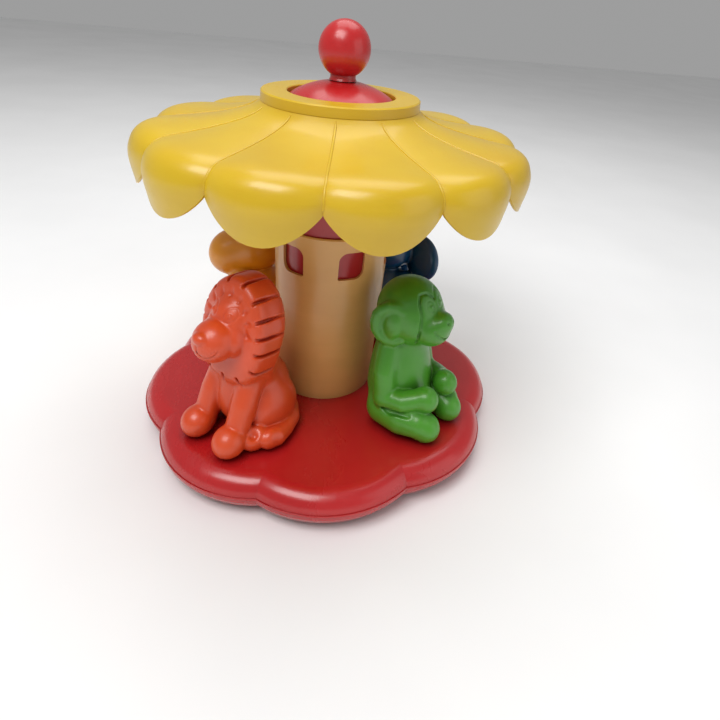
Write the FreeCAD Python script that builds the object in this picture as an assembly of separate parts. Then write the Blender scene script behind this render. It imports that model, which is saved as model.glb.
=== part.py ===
import FreeCAD, Part
import math
import os

# Toy merry go round. Lengths in mm, +Z up, origin on the table under the centre.
# The turning base, tower, canopy and four riders ride on a fixed foot and post.
# Pressing the ball knob drives a twisted strip through a slotted nut.

# Overall
base_radius = 120.0        # centre to lobe tip
base_top = 25.0            # flat deck height above the table
parting_height = 14.0      # where shell and pan meet
pan_bottom = 3.0
lobe_count = 8
shell_wall = 2.4
line_bead = 0.5            # raised line where the two mouldings meet

# Tower
tower_foot_radius = 33.1
sleeve_wall = 2.2
inner_wall = 2.0
window_count = 6
window_width = 17.0
window_height = 19.0

# Canopy
petal_count = 12
canopy_radius = 124.0
canopy_height = 197.0      # canopy's central ring above the deck
canopy_wall = 2.2
canopy_turn = 22.0         # angle of the first seam
collar_height = 6.5

# Push knob and drive
knob_radius = 16.2
knob_half_height = 18.2
press_travel = 30.0
strip_width = 8.0
strip_thickness = 1.8
strip_lead = 40.0          # rise of the twisted strip in one full turn

# Post and foot
post_radius = 10.0
foot_thickness = 3.0
pad_height = 1.5
run_gap = 0.06             # running fit round the post

# Sizes tied to the ones above
lobe_radius = base_radius * 0.554
lobe_centre = base_radius - lobe_radius
foot_radius = base_radius - 50.0
pad_radius = foot_radius - 11.0
well_radius = foot_radius + 2.0
pan_screw_radius = (foot_radius + base_radius) / 2.0 - 7.0
post_bore = post_radius - 3.0
post_screw_radius = post_radius + 5.5
bush_radius = post_radius + 4.0
hub_radius = bush_radius + 8.0
cap_radius = bush_radius + 9.4
cap_screw_radius = bush_radius + 12.6
tower_screw_radius = (hub_radius + tower_foot_radius) / 2.0 - 1.05
tower_rim_radius = tower_foot_radius + 5.9
dome_radius = tower_rim_radius - 5.7
collar_hole = dome_radius + 0.75
canopy_hole = dome_radius + 3.6
canopy_screw_radius = tower_rim_radius + 3.0
collar_radius = tower_rim_radius + 11.0
notch_radius = canopy_radius - 7.6
tower_height = canopy_height - press_travel - 48.0
window_middle = tower_height - 18.5
rider_scale = (base_radius - tower_foot_radius) / 86.9
rider_radius = tower_foot_radius + 42.9 * rider_scale

# Heights worked out from the sizes above
rim_height = base_top + tower_height
ring_seat = base_top + canopy_height
web_height = rim_height + 4.0
web_top = web_height + 3.0
foot_top = pad_height + foot_thickness
flange_top = foot_top + 3.0
washer_top = flange_top + 1.0
roof_low = flange_top + 0.6
roof_top = roof_low + shell_wall
dome_low = ring_seat - 2.0
skirt_top = dome_low + 5.6
dome_top = skirt_top + 11.0
knob_middle = dome_top + 2.6 + knob_half_height - 1.6
stem_low = dome_top - 28.5
shoe_low = flange_top + 40.0 + press_travel
shoe_top = shoe_low + 12.0

# Angles where things repeat
quarters = [0, 90, 180, 270]
rider_angles = [45, 135, 225, 315]
foot_screw_angles = [30, 150, 270]
cap_screw_angles = [60, 180, 300]


def vec(x, y, z):
    return FreeCAD.Vector(x, y, z)


def cyl(r, z0, z1, x=0.0, y=0.0):
    return Part.makeCylinder(r, z1 - z0, vec(x, y, z0))


def ring(r_in, r_out, z0, z1):
    return cyl(r_out, z0, z1).cut(cyl(r_in, z0 - 1.0, z1 + 1.0))


def join(shapes):
    shapes = list(shapes)
    if len(shapes) == 1:
        return shapes[0]
    return shapes[0].multiFuse(shapes[1:])


def turned(shape, angle):
    copy = shape.copy()
    copy.rotate(vec(0, 0, 0), vec(0, 0, 1), angle)
    return copy


def around(shape, count, start=0.0):
    return [turned(shape, start + 360.0 * i / count) for i in range(count)]


def moved(shape, x, y, z):
    copy = shape.copy()
    copy.translate(vec(x, y, z))
    return copy


def spun(points, centre=(0.0, 0.0)):
    """Solid of revolution from corner points given as (radius, height)."""
    corners = [vec(r, 0, z) for r, z in points]
    face = Part.Face(Part.makePolygon(corners + [corners[0]]))
    solid = face.revolve(vec(0, 0, 0), vec(0, 0, 1), 360)
    solid.translate(vec(centre[0], centre[1], 0))
    return solid


def block(x, y, z, wide, deep, high):
    """Box centred on x and y, standing on z."""
    return Part.makeBox(wide, deep, high, vec(x - wide / 2.0, y - deep / 2.0, z))


def save(name, shape):
    solids = shape.Solids
    if len(solids) == 1:
        shape = solids[0]
    else:
        shape = Part.makeCompound(solids)
    shape.exportStep("parts/" + name + ".step")


def screw(head_r, head_high, shank_r, length):
    """Pan head screw, head underside at z = 0, shank pointing up."""
    head = spun([(0, -head_high), (head_r * 0.7, -head_high), (head_r, -head_high * 0.5), (head_r, 0), (0, 0)])
    shank = spun([(0, -0.1), (shank_r, -0.1), (shank_r, length - 1.2), (0.4, length), (0, length)])
    slot = block(0, 0, -head_high - 0.1, head_r * 1.2, 0.7, 0.8)
    cross = block(0, 0, -head_high - 0.1, 0.7, head_r * 1.2, 0.8)
    return head.fuse(shank).cut(slot).cut(cross)


# Foot and post


def foot_disc():
    rim = 1.2
    disc = spun([(0, pad_height), (foot_radius - rim, pad_height), (foot_radius, pad_height + rim),
                 (foot_radius, foot_top), (0, foot_top)])
    for angle in foot_screw_angles:
        hole = cyl(1.6, pad_height - 1, foot_top + 1, post_screw_radius, 0)
        seat = cyl(3.6, pad_height - 1, pad_height + 1.6, post_screw_radius, 0)
        disc = disc.cut(turned(hole.fuse(seat), angle))
    for angle in range(0, 360, 60):
        disc = disc.cut(turned(cyl(2.5, pad_height - 1, foot_top + 1, pad_radius, 0), angle))
    return disc


def foot_pads():
    pad = spun([(0, 0), (6.0, 0), (7.0, 0.6), (7.0, pad_height), (2.5, pad_height), (2.5, foot_top), (0, foot_top)])
    return Part.makeCompound(around(moved(pad, pad_radius, 0, 0), 6))


def centre_post():
    top = web_top + 2.5
    flange = post_radius + 10.0
    post = spun([(0, foot_top), (flange, foot_top), (flange, flange_top), (post_radius, flange_top),
                 (post_radius, top - 0.8), (post_radius - 0.8, top), (0, top)])
    post = post.cut(cyl(post_bore, flange_top, top + 1))
    key = block(0, 0, flange_top + 12, 2 * post_bore + 2.5, 3.1, top)
    groove = ring(post_radius - 1.0, post_radius + 1, web_top + 0.3, web_top + 1.2)
    post = post.cut(key).cut(groove)
    for angle in foot_screw_angles:
        post = post.cut(turned(cyl(1.5, foot_top - 1, flange_top - 0.4, post_screw_radius, 0), angle))
    return post


def screws_post():
    one = moved(screw(3.2, 1.4, 1.5, 3.8), post_screw_radius, 0, pad_height + 1.6)
    return Part.makeCompound([turned(one, angle) for angle in foot_screw_angles])


def thrust_washer():
    return ring(post_radius + 0.1, post_radius + 7.0, flange_top, washer_top)


def retaining_ring():
    band = ring(post_radius - 1.0, post_radius + 3.0, web_top + 0.3, web_top + 1.2)
    return band.cut(block(post_radius + 1, 0, web_top, 10, 5, 3))


def return_spring():
    wire_r = 0.5
    coil_r = post_bore - 1.6
    low = flange_top + wire_r
    high = shoe_low - wire_r
    turns = 13.0
    helix = Part.makeHelix((high - low) / turns, high - low, coil_r)
    circle = Part.Wire(Part.makeCircle(wire_r, vec(coil_r, 0, 0), vec(0, 1, 0.15)))
    coil = Part.Wire(helix).makePipeShell([circle], True, True)
    return moved(coil, 0, 0, low)


# Turning base


def lobed(profile):
    """Equal turned discs in a ring, joined into one lobed block."""
    disc = spun(profile, (lobe_centre, 0))
    return join(around(disc, lobe_count))


def round_disc(radius, top, low):
    """Disc with a true quarter-round edge, centred on one lobe."""
    high = top - low
    a = vec(0, 0, low)
    b = vec(0, 0, top)
    c = vec(radius - high, 0, top)
    m = vec(radius - high + high * math.sqrt(0.5), 0, low + high * math.sqrt(0.5))
    d = vec(radius, 0, low)
    wire = Part.Wire([Part.makeLine(a, b), Part.makeLine(b, c), Part.Arc(c, m, d).toShape(), Part.makeLine(d, a)])
    solid = Part.Face(wire).revolve(vec(0, 0, 0), vec(0, 0, 1), 360)
    return moved(solid, lobe_centre, 0, 0)


def rider_screw_spots():
    """Two screws under each rider, both on its centre line."""
    return [(rider_radius - 14.0 * rider_scale, 0.0), (rider_radius + 12.0 * rider_scale, 0.0)]


def base_shell():
    outer = join(around(round_disc(lobe_radius, base_top, parting_height), lobe_count))
    bead_disc = moved(cyl(lobe_radius + line_bead, parting_height, parting_height + 1.0), lobe_centre, 0, 0)
    outer = outer.fuse(join(around(bead_disc, lobe_count)))
    hollow = join(around(round_disc(lobe_radius - shell_wall, base_top - shell_wall, parting_height), lobe_count))
    shell = outer.cut(hollow)
    low = parting_height - 2.0
    for angle in quarters:
        boss = cyl(4.5, low, base_top - 1.0, pan_screw_radius, 0)
        boss = boss.cut(cyl(1.5, low - 1, base_top - 5.0, pan_screw_radius, 0))
        shell = shell.fuse(turned(boss, angle))
    shell = shell.cut(cyl(hub_radius, 0, 60))
    for angle in quarters:
        shell = shell.cut(turned(cyl(1.6, 0, 60, tower_screw_radius, 0), angle + 22.5))
    for angle in rider_angles:
        for x, y in rider_screw_spots():
            shell = shell.cut(turned(cyl(1.6, 0, 60, x, y), angle))
    return shell.removeSplitter()


def base_pan():
    depth = parting_height - pan_bottom
    profile = [(0, parting_height), (lobe_radius, parting_height), (lobe_radius - 0.8, parting_height - 3.5),
               (lobe_radius - 3.0, parting_height - 7.0), (lobe_radius - 7.0, pan_bottom + 0.8),
               (lobe_radius - 10.0, pan_bottom), (0, pan_bottom)]
    outer = lobed(profile)
    inner_profile = [(0, parting_height + 1), (lobe_radius - shell_wall, parting_height + 1),
                     (lobe_radius - shell_wall - 0.8, parting_height - 3.5),
                     (lobe_radius - shell_wall - 3.0, parting_height - 6.4),
                     (lobe_radius - shell_wall - 7.0, pan_bottom + shell_wall), (0, pan_bottom + shell_wall)]
    pan = outer.cut(lobed(inner_profile))
    pan = pan.cut(cyl(well_radius, 0, 40))
    pan = pan.fuse(ring(well_radius, well_radius + shell_wall, pan_bottom, roof_top))
    pan = pan.fuse(ring(bush_radius + 4.5, well_radius + 1.0, roof_low, roof_top))
    pan = pan.fuse(ring(bush_radius, bush_radius + 6.5, roof_top, base_top - 3.0))
    for angle in quarters:
        post = cyl(6.5, pan_bottom, parting_height - 2.0, pan_screw_radius, 0)
        pan = pan.fuse(turned(post, angle))
        bore = cyl(1.6, 0, 40, pan_screw_radius, 0).fuse(cyl(4.2, 0, 8.0, pan_screw_radius, 0))
        pan = pan.cut(turned(bore, angle))
    rib_start = bush_radius + 5.5
    rib_end = well_radius - 1.5
    rib = block((rib_start + rib_end) / 2.0, 0, roof_top - 0.5, rib_end - rib_start, 1.6, 4.5)
    for one in around(rib, 8, 22.5):
        pan = pan.fuse(one)
    return pan.removeSplitter()


def screws_base():
    one = moved(screw(3.6, 2.0, 1.5, 11.0), pan_screw_radius, 0, 8.0)
    return Part.makeCompound(around(one, 4))


def lower_bush():
    low = washer_top
    flange = bush_radius + 4.0
    return spun([(post_radius + run_gap, low), (flange, low), (flange, roof_top), (bush_radius, roof_top),
                 (bush_radius, base_top - 3.0), (post_radius + run_gap, base_top - 3.0)])


def upper_bush():
    r = post_radius + run_gap
    b = bush_radius
    return spun([(r, web_height - 8), (b, web_height - 8), (b, web_height - 2.5), (b + 3.5, web_height - 2.5),
                 (b + 3.5, web_height), (b, web_height), (b, web_top), (r, web_top)])


# Tower


def tower_radius(z):
    """Outside radius of the cream sleeve at height z."""
    share = (z - base_top) / tower_height
    return tower_foot_radius + (tower_rim_radius - tower_foot_radius) * share


def window_cutter(mirrored):
    """Tall window with two opposite corners well rounded."""
    w = window_width / 2.0
    h = window_height / 2.0
    big = 6.0
    small = 1.2
    side = -1.0 if mirrored else 1.0
    r = [big, small, big, small]
    corners = [(side * w, h), (-side * w, h), (-side * w, -h), (side * w, -h)]
    edges = []
    last = None
    first = None
    for i in range(4):
        cx, cz = corners[i]
        px, pz = corners[i - 1]
        nx, nz = corners[(i + 1) % 4]
        rad = r[i]
        start = (cx + (px > cx) * rad - (px < cx) * rad, cz + (pz > cz) * rad - (pz < cz) * rad)
        end = (cx + (nx > cx) * rad - (nx < cx) * rad, cz + (nz > cz) * rad - (nz < cz) * rad)
        mid_x = (start[0] + end[0]) / 2.0
        mid_z = (start[1] + end[1]) / 2.0
        pull = math.sqrt(2.0) - 1.0
        arc_mid = (mid_x + (cx - mid_x) * pull, mid_z + (cz - mid_z) * pull)
        a = vec(0, start[0], start[1])
        b = vec(0, arc_mid[0], arc_mid[1])
        c = vec(0, end[0], end[1])
        if last is not None:
            edges.append(Part.makeLine(last, a))
        else:
            first = a
        edges.append(Part.Arc(a, b, c).toShape())
        last = c
    edges.append(Part.makeLine(last, first))
    face = Part.Face(Part.Wire(edges))
    return moved(face.extrude(vec(60, 0, 0)), 0, 0, base_top + window_middle)


def tower_sleeve():
    foot = tower_foot_radius
    rim = tower_rim_radius
    top = rim_height
    floor_top = base_top + 2.2
    sleeve = spun([(hub_radius, base_top), (foot, base_top), (rim - 0.04, top - 0.8), (rim - 0.8, top),
                   (rim - sleeve_wall + 0.5, top), (rim - sleeve_wall, top - 0.6),
                   (tower_radius(floor_top) - sleeve_wall, floor_top), (hub_radius, floor_top)])
    for i in range(window_count):
        sleeve = sleeve.cut(turned(window_cutter(i % 2 == 0), 45.0 + 60.0 * i))
    for angle in quarters:
        sleeve = sleeve.cut(turned(cyl(1.6, 0, 60, tower_screw_radius, 0), angle + 22.5))
    return sleeve


def inner_tower():
    gap = sleeve_wall + 0.15
    foot = base_top + 2.2
    top = ring_seat - 2.4
    r0 = tower_radius(foot) - gap
    r1 = tower_rim_radius - gap
    t = inner_wall
    spigot = hub_radius - 0.1
    flange = tower_rim_radius + 7.0
    tower = spun([(spigot - 2.9, base_top - 2.0), (spigot, base_top - 2.0), (spigot, foot), (r0, foot),
                  (r1, rim_height), (r1, top - 2.5), (flange, top - 2.5), (flange, top), (r1 - t, top),
                  (r1 - t, rim_height), (r0 - t, foot + 3.0), (spigot - 2.9, foot + 3.0)])
    tower = tower.fuse(ring(bush_radius, r1 - 0.5, web_height, web_top))
    low_r = tower_screw_radius
    high_r = canopy_screw_radius
    for angle in quarters:
        boss = cyl(4.0, foot, foot + 15.0, low_r, 0)
        tower = tower.fuse(turned(boss, angle + 22.5))
        tower = tower.cut(turned(cyl(1.5, 0, foot + 12.0, low_r, 0), angle + 22.5))
        tower = tower.fuse(turned(cyl(3.2, top - 8.0, top - 1.0, high_r, 0), angle))
        tower = tower.cut(turned(cyl(1.5, top - 7.0, top + 1.0, high_r, 0), angle))
    for angle in cap_screw_angles:
        tower = tower.fuse(turned(cyl(3.4, web_height - 5.0, web_height + 1.0, cap_screw_radius, 0), angle))
        tower = tower.cut(turned(cyl(1.5, web_height - 4.0, web_top + 1.0, cap_screw_radius, 0), angle))
    return tower.removeSplitter()


def screws_tower():
    one = moved(screw(3.2, 1.8, 1.5, 14.0), tower_screw_radius, 0, base_top - shell_wall)
    return Part.makeCompound(around(one, 4, 22.5))


# Drive


def saw_teeth(r_in, r_out, low, high, up):
    """Ring of slanted teeth, pointing up or down."""
    count = 12
    teeth = []
    for i in range(count):
        a0 = 2 * math.pi * i / count
        a1 = a0 + 2 * math.pi / count * 0.96
        tip = high if up else low
        flat = low if up else high
        def tooth_face(r):
            p = vec(r * math.cos(a0), r * math.sin(a0), flat)
            q = vec(r * math.cos(a1), r * math.sin(a1), flat)
            s = vec(r * math.cos(a1), r * math.sin(a1), tip)
            return Part.makePolygon([p, q, s, p])
        teeth.append(Part.makeLoft([tooth_face(r_in), tooth_face(r_out)], True, True))
    return teeth


def clutch_ring():
    inside = bush_radius + 1.0
    outside = bush_radius + 6.5
    body = ring(inside, outside, web_top, web_top + 4.0)
    teeth = saw_teeth(inside + 0.2, outside - 0.2, web_top + 3.9, web_top + 6.0, True)
    return join([body] + teeth).removeSplitter()


def strip_section(wide, thick, z):
    angle = 360.0 * (z - shoe_top) / strip_lead
    w = wide / 2.0
    t = thick / 2.0
    poly = Part.makePolygon([vec(-w, -t, z), vec(w, -t, z), vec(w, t, z), vec(-w, t, z), vec(-w, -t, z)])
    poly.rotate(vec(0, 0, 0), vec(0, 0, 1), angle)
    return poly


def twisted(wide, thick, z0, z1):
    steps = int(round((z1 - z0) / 2.5))
    sections = [strip_section(wide, thick, z0 + (z1 - z0) * i / steps) for i in range(steps + 1)]
    return Part.makeLoft(sections, True, False)


def upper_turned(shape):
    """Turn a shape to match the strip where its twist ends."""
    return turned(shape, 360.0 * (stem_low - shoe_top) / strip_lead)


def lower_pin(radius, size):
    return Part.makeCylinder(radius, size, vec(0, -size / 2.0, shoe_low + 7.0), vec(0, 1, 0))


def upper_pin(radius, size):
    return upper_turned(Part.makeCylinder(radius, size, vec(0, -size / 2.0, stem_low + 8.0), vec(0, 1, 0)))


def drive_strip():
    body = twisted(strip_width, strip_thickness, shoe_top, stem_low)
    low_tang = block(0, 0, shoe_low + 2.0, strip_width, strip_thickness, shoe_top - shoe_low - 2.0)
    high_tang = upper_turned(block(0, 0, stem_low, strip_width, strip_thickness, 16.0))
    strip = join([body, low_tang, high_tang])
    return strip.cut(lower_pin(1.0, 30.0)).cut(upper_pin(1.0, 30.0))


def strip_pins():
    return Part.makeCompound([lower_pin(1.0, 11.0), upper_pin(1.0, 11.0)])


def guide_shoe():
    shoe = cyl(post_bore - 0.08, shoe_low, shoe_top)
    ears = block(0, 0, shoe_low, 2 * post_bore + 2.3, 2.94, shoe_top - shoe_low)
    shoe = shoe.fuse(ears)
    shoe = shoe.cut(block(0, 0, shoe_low + 2.0, strip_width, strip_thickness, 20))
    return shoe.cut(lower_pin(1.0, 30.0)).removeSplitter()


def drive_nut():
    hub_low = web_top + 4.5
    flange_low = web_top + 8.5
    flange_high = flange_low + 3.0
    hub_high = flange_high + 7.5
    rim = bush_radius + 6.5
    nut = spun([(0, hub_low), (8.0, hub_low), (8.0, flange_low), (rim, flange_low), (rim, flange_high),
                (8.0, flange_high), (8.0, hub_high - 0.8), (7.2, hub_high), (0, hub_high)])
    nut = join([nut] + saw_teeth(rim - 5.3, rim - 0.2, flange_low - 2.0, flange_low + 0.1, False))
    start = shoe_top + 2.5 * math.floor((hub_low - 2.0 - shoe_top) / 2.5)
    end = start + 2.5 * math.ceil((hub_high + 2.0 - start) / 2.5)
    return nut.cut(twisted(strip_width + 0.3, strip_thickness + 0.3, start, end)).removeSplitter()


def nut_cap():
    low = web_top
    plate = web_top + 11.56
    out = cap_radius
    cap = spun([(out - 2.2, low), (out, low), (out, plate + 1.6), (out - 0.8, plate + 2.4),
                (8.0 + run_gap, plate + 2.4), (8.0 + run_gap, plate), (out - 2.2, plate)])
    for angle in cap_screw_angles:
        ear = cyl(4.2, low, low + 2.5, cap_screw_radius, 0)
        ear = ear.fuse(block(out + 0.6, 0, low, 4.0, 8.4, 2.5)).cut(cyl(out - 1.4, low - 1, low + 9))
        hole = cyl(1.6, low - 1, low + 9, cap_screw_radius, 0)
        cap = cap.fuse(turned(ear, angle)).cut(turned(hole, angle))
    for slot in around(block(out - 1.4, 0, low + 4.0, 8.0, 6.0, 4.0), 3):
        cap = cap.cut(slot)
    return cap.removeSplitter()


def screws_cap():
    one = screw(2.9, 1.6, 1.5, 8.0)
    one.rotate(vec(0, 0, 0), vec(1, 0, 0), 180)
    return Part.makeCompound(around(moved(one, cap_screw_radius, 0, web_top + 2.5), 3, 60.0))


# Canopy


def petal_points():
    """Seam and mid-petal outlines as (radius, height above the ring seat), and how scalloped each point is."""
    r = canopy_radius
    n = notch_radius
    c = collar_radius
    k = (n - c) / 66.4
    seam = [(c - 0.5, -0.05), (c + 5 * k, -4.6), (c + 14 * k, -8.6), (c + 29 * k, -12.6), (c + 44 * k, -15.4),
            (n - 10, -18.0), (n - 4, -21.5), (n - 0.8, -26.5), (n, -31.5), (n, -35.0)]
    crown = [(c - 0.5, -0.05), (c + 5 * k, -4.3), (c + 14 * k, -7.8), (c + 29 * k, -11.2), (c + 44 * k, -13.4),
             (r - 13, -15.4), (r - 5, -19.0), (r - 1, -26.0), (r, -36.0), (r - 4, -55.0)]
    scallop = [0, 0, 0, 0, 0.1, 0.25, 0.45, 0.7, 0.9, 1.0]
    return seam, crown, scallop


def canopy_outline(share):
    """Canopy wall as outer and inner point lists; share runs from -1 to 1 across a petal."""
    seam, crown, scallop = petal_points()
    soft = 1.0 - share * share
    full = 1.0 - abs(share) ** 3
    outer = []
    for (rs, zs), (rc, zc), m in zip(seam, crown, scallop):
        k = (1.0 - m) * soft + m * full
        outer.append((rs + (rc - rs) * k, zs + (zc - zs) * k))
    inner = []
    last = len(outer) - 1
    for i in range(last + 1):
        a = outer[max(0, i - 1)]
        b = outer[min(last, i + 1)]
        size = math.hypot(b[0] - a[0], b[1] - a[1])
        nr = -(b[1] - a[1]) / size
        nz = (b[0] - a[0]) / size
        inner.append((outer[i][0] - canopy_wall * nr, outer[i][1] - canopy_wall * nz))
    inner[0] = (outer[0][0], -canopy_wall - 0.2)
    inner[-1] = (outer[-1][0] - canopy_wall, outer[-1][1])
    return outer, inner


def curve_through(points):
    curve = Part.BSplineCurve()
    curve.interpolate(points)
    return curve.toShape()


def canopy_section(share):
    """Closed outline from the central hole out to the petal's edge and back."""
    half = 180.0 / petal_count
    angle = math.radians(half * share)
    outer, inner = canopy_outline(share)
    top = outer[0][1]
    low = inner[0][1]
    def spot(r, z):
        return vec(r * math.cos(angle), r * math.sin(angle), ring_seat + z)
    out = [spot(r, z) for r, z in outer]
    back = [spot(r, z) for r, z in reversed(inner)]
    hole_top = spot(canopy_hole, top)
    hole_low = spot(canopy_hole, low)
    edges = [Part.makeLine(hole_top, out[0]), curve_through(out), Part.makeLine(out[-1], back[0]),
             curve_through(back), Part.makeLine(back[-1], hole_low), Part.makeLine(hole_low, hole_top)]
    return Part.Wire(edges)


def canopy():
    """Twelve petals closed into one moulding; neighbouring petals meet in a crease."""
    shares = [-1.0, -0.85, -0.6, -0.3, 0.0, 0.3, 0.6, 0.85, 1.0]
    skin = Part.makeLoft([canopy_section(s) for s in shares], False, False)
    every = []
    for petal_faces in around(Part.makeCompound(skin.Faces), petal_count, canopy_turn + 180.0 / petal_count):
        every += petal_faces.Faces
    shell = Part.makeShell(every)
    shell.sewShape(0.005)
    solid = Part.makeSolid(shell)
    if solid.Volume < 0:
        solid.reverse()
    for hole in around(cyl(1.6, ring_seat - 9, ring_seat + 9, canopy_screw_radius, 0), 4):
        solid = solid.cut(hole)
    return solid


def collar_ring():
    top = ring_seat + collar_height
    low = ring_seat - 0.05
    r = collar_radius
    body = spun([(collar_hole, low), (r, low), (r, top - 0.8), (r - 0.8, top), (collar_hole + 0.6, top),
                 (collar_hole, top - 0.6)])
    hollow = ring(collar_hole + 2.95, r - 2.5, low - 1, top - 2.4)
    return body.cut(hollow)


def screws_canopy():
    one = screw(3.2, 1.8, 1.5, 8.0)
    one.rotate(vec(0, 0, 0), vec(1, 0, 0), 180)
    return Part.makeCompound(around(moved(one, canopy_screw_radius, 0, ring_seat - 0.05), 4))


# Push knob


def ball_knob():
    ball = Part.makeSphere(knob_radius)
    grow = FreeCAD.Matrix()
    grow.scale(1.0, 1.0, knob_half_height / knob_radius)
    ball = moved(ball.transformGeometry(grow), 0, 0, knob_middle)
    neck = spun([(0, dome_top), (8.6, dome_top), (8.0, dome_top + 1.4), (8.0, dome_top + 3.0),
                 (7.4, dome_top + 9.0), (0, dome_top + 9.0)])
    stem = cyl(6.0, stem_low, dome_top + 0.5)
    knob = join([ball, neck, stem])
    knob = knob.cut(upper_turned(block(0, 0, stem_low - 1, strip_width, strip_thickness, 17.0)))
    return knob.cut(upper_pin(1.0, 30.0))


def dome_cap():
    lip = ring_seat - 0.1
    rise = dome_top - skirt_top
    big = (dome_radius ** 2 + rise ** 2) / (2.0 * rise)
    outer = Part.makeSphere(big, vec(0, 0, dome_top - big))
    inner = Part.makeSphere(big - 2.0, vec(0, 0, dome_top - big))
    cap = cyl(dome_radius, dome_low, dome_top + 5).common(outer)
    cap = cap.cut(cyl(dome_radius - 2.2, dome_low - 1, dome_top).common(inner))
    cap = cap.fuse(ring(dome_radius - 1.0, dome_radius + 1.1, dome_low, lip))
    cap = cap.fuse(ring(5.9, 10.0, dome_top - 12.0, dome_top - 1.0))
    return cap.cut(cyl(6.0, dome_low - 20, dome_top + 9)).cut(cyl(9.5, dome_top - 0.12, dome_top + 9))


# Riders. Each faces along +X and stands on z = 0 before it is placed.


def egg(x, y, z, rx, ry, rz, tip=0.0):
    ball = Part.makeSphere(1.0)
    grow = FreeCAD.Matrix()
    grow.scale(rx, ry, rz)
    shape = ball.transformGeometry(grow)
    if tip:
        shape.rotate(vec(0, 0, 0), vec(0, 1, 0), tip)
    return moved(shape, x, y, z)


def limb(p, rp, q, rq):
    """Rounded limb between two points, a capsule that may taper."""
    start = vec(*p)
    end = vec(*q)
    along = end - start
    size = along.Length
    slope = math.asin((rp - rq) / size)
    c = math.cos(slope)
    s = math.sin(slope)
    a = vec(0, 0, -rp)
    b = vec(rp * c, 0, rp * s)
    turn_b = math.atan2(rp * s, rp * c)
    mid = (turn_b - math.pi / 2) / 2.0
    am = vec(rp * math.cos(mid), 0, rp * math.sin(mid))
    d = vec(rq * c, 0, size + rq * s)
    mid_d = (turn_b + math.pi / 2) / 2.0
    dm = vec(rq * math.cos(mid_d), 0, size + rq * math.sin(mid_d))
    e = vec(0, 0, size + rq)
    edges = [Part.Arc(a, am, b).toShape(), Part.makeLine(b, d), Part.Arc(d, dm, e).toShape(), Part.makeLine(e, a)]
    solid = Part.Face(Part.Wire(edges)).revolve(vec(0, 0, 0), vec(0, 0, 1), 360)
    spin = FreeCAD.Rotation(vec(0, 0, 1), along)
    solid.Placement = FreeCAD.Placement(start, spin)
    return solid


def pair(maker):
    """A left and a right copy of one feature."""
    return [maker(1.0), maker(-1.0)]


def eye_ring(x, y, z, r, lean):
    """Engraved ring round a pupil."""
    tube = Part.makeCylinder(r, 6.0, vec(x - 3.0, y, z), vec(1, lean, 0.15))
    core = Part.makeCylinder(r - 0.8, 8.0, vec(x - 4.0, y, z), vec(1, lean, 0.15))
    return tube.cut(core)


def lion():
    parts = [egg(-9, 0, 24, 23, 23, 24), egg(0, 0, 42, 18, 17.5, 32, 6), egg(6, 0, 76, 19, 20, 20),
             egg(23, 0, 70.5, 11.5, 13, 10.5), egg(33, 0, 77, 3.2, 5.2, 3.6)]
    parts += pair(lambda s: limb((14, 11.5 * s, 46), 8.6, (20, 13.5 * s, 9), 7.2))
    parts += pair(lambda s: egg(22, 13.5 * s, 7.5, 9.6, 8.6, 8.2))
    parts += pair(lambda s: egg(-8, 19 * s, 17, 18, 9.5, 17))
    parts += pair(lambda s: egg(8, 22 * s, 6, 12, 6.4, 6.6))
    tail = [(-27, 9, 6), (-22, 19, 5.5), (-9, 27, 5.5), (3, 29, 6)]
    parts += [limb(tail[i], 5.0, tail[i + 1], 4.8) for i in range(3)]
    mane = Part.makeTorus(19.5, 8.2, vec(0, 0, 0), vec(1, 0, 0))
    mane.rotate(vec(0, 0, 0), vec(0, 1, 0), -6)
    parts.append(moved(mane, 4, 0, 76))
    for y in (-9, -3, 3, 9):
        parts.append(limb((15, y, 62), 4.6, (17, y * 0.8, 47), 2.6))
    body = join(parts)
    for i in range(18):
        notch = block(6, 0, 24.5, 30, 1.7, 8)
        notch.rotate(vec(0, 0, 0), vec(1, 0, 0), 10 + 20 * i)
        notch.rotate(vec(0, 0, 0), vec(0, 1, 0), -6)
        body = body.cut(moved(notch, 4, 0, 76))
    for s in (1.0, -1.0):
        body = body.cut(eye_ring(24, 8 * s, 84, 3.4, 0.35 * s))
    return rider(body, -4, 30)


def monkey():
    parts = [egg(-10, 0, 27, 20, 22, 27), egg(-10, 0, 46, 16, 17, 21), egg(-9, 0, 77, 20, 20, 21),
             egg(6, 0, 72, 11, 14, 11)]
    parts += pair(lambda s: limb((-4, 15 * s, 15), 11, (16, 15 * s, 22), 8.5))
    parts += pair(lambda s: limb((16, 15 * s, 22), 8.4, (20, 14 * s, 9), 7.0))
    parts += pair(lambda s: egg(19, 13 * s, 7, 9.6, 8.2, 7.4))
    parts += pair(lambda s: limb((-8, 16 * s, 54), 7.5, (2, 21 * s, 34), 6.4))
    parts += pair(lambda s: limb((2, 21 * s, 34), 6.3, (17, 14 * s, 32), 6.0))
    parts += pair(lambda s: egg(-8, 22 * s, 77, 4.6, 8.0, 10))
    body = join(parts)
    for s in (1.0, -1.0):
        body = body.cut(egg(-3.5, 23 * s, 77, 3.0, 4.6, 6.5))
        body = body.cut(eye_ring(11, 4.6 * s, 85, 3.1, 0.15 * s))
    return rider(body, -12, 30)


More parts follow.
